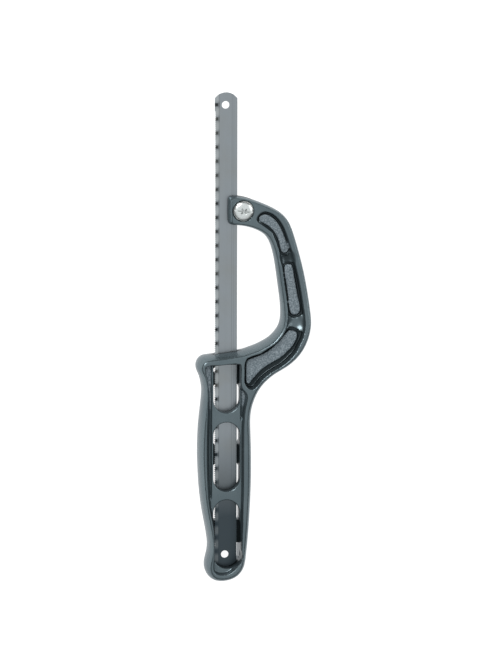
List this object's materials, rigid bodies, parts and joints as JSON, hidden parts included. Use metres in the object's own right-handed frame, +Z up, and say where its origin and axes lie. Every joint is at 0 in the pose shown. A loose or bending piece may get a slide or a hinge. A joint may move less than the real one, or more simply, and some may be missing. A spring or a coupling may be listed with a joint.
{
  "type": "hacksaw",
  "caption": "Mini hacksaw: one cast frame forms a windowed handle and a bow, and a screw at the bow's slotted tip clamps a long toothed blade that runs back into the handle.",
  "frame": {"origin": "bottom centre of the whole saw as it lies flat on the rims of its back face", "axes": "+Z up through the saw's thickness, out of its front face, which carries the screw's head; +Y along the blade, away from the handle; +X from the toothed edge towards the bow"},
  "size_m": [0.0636, 0.2712, 0.021],
  "materials": {
    "frame_paint": "semi-gloss dark blue-grey paint on a die casting, fine textured in its raised pads",
    "blade_steel": "satin blue-grey hardened steel with a lengthwise grain",
    "zinc_plate": "bright zinc plate"
  },
  "bodies": {
    "saw_frame": {"frame": "frame_paint"},
    "saw_blade": {"blade": "blade_steel"},
    "screw": {"clamp_screw": "zinc_plate"},
    "nut": {"clamp_nut": "zinc_plate"}
  },
  "joints": [
    {"name": "blade_slide", "type": "slide", "parent": "saw_frame", "child": "saw_blade", "axis": [0, 1, 0], "range_m": [0, 0.18]},
    {"name": "nut_travel", "type": "slide", "parent": "saw_frame", "child": "nut", "axis": [0, 0, -1], "range_m": [0, 0.0016]},
    {"name": "screw_turn", "type": "hinge", "parent": "saw_frame", "child": "screw", "pos_m": [-0.00642, 0.07085, 0.0105], "axis": [0, 0, 1], "range_deg": [0, 720]}
  ],
  "couplings": [
    {"joint": "screw_turn", "follows": "nut_travel", "rad_per_m": 7854}
  ]
}
